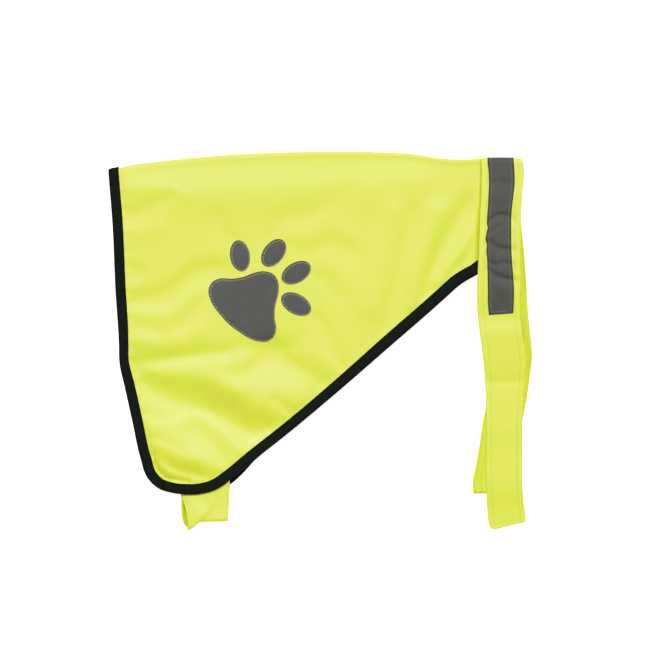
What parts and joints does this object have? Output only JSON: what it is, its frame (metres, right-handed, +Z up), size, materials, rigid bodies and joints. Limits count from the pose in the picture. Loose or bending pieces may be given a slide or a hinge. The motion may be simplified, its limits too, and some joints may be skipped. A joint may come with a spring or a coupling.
{
  "type": "dog safety vest, lying folded in two",
  "caption": "Bright yellow dog safety vest lying flat, folded along the spine, with black edge binding, neck strap with reflective tape, paw motif and belly strap.",
  "frame": {"origin": "on the surface that the vest lies on, under the middle of its bounding box", "axes": "+X from the tail edge to the neck strap, +Y from the strap ends to the folded spine, +Z up from the surface"},
  "size_m": [0.4228, 0.3784, 0.0121],
  "materials": {
    "yellow_knit": "fluorescent yellow knitted polyester, matt with a slight sheen",
    "black_binding": "black woven polyester binding",
    "grey_reflective": "grey retro-reflective tape, glass-bead faced cloth"
  },
  "bodies": {
    "root": {"back_panel": "yellow_knit", "edge_binding": "black_binding", "neck_strap": "yellow_knit", "neck_tape": "grey_reflective", "belly_strap": "yellow_knit", "paw_pad": "grey_reflective", "paw_toe_1": "grey_reflective", "paw_toe_2": "grey_reflective", "paw_toe_3": "grey_reflective", "paw_toe_4": "grey_reflective"}
  },
  "joints": []
}
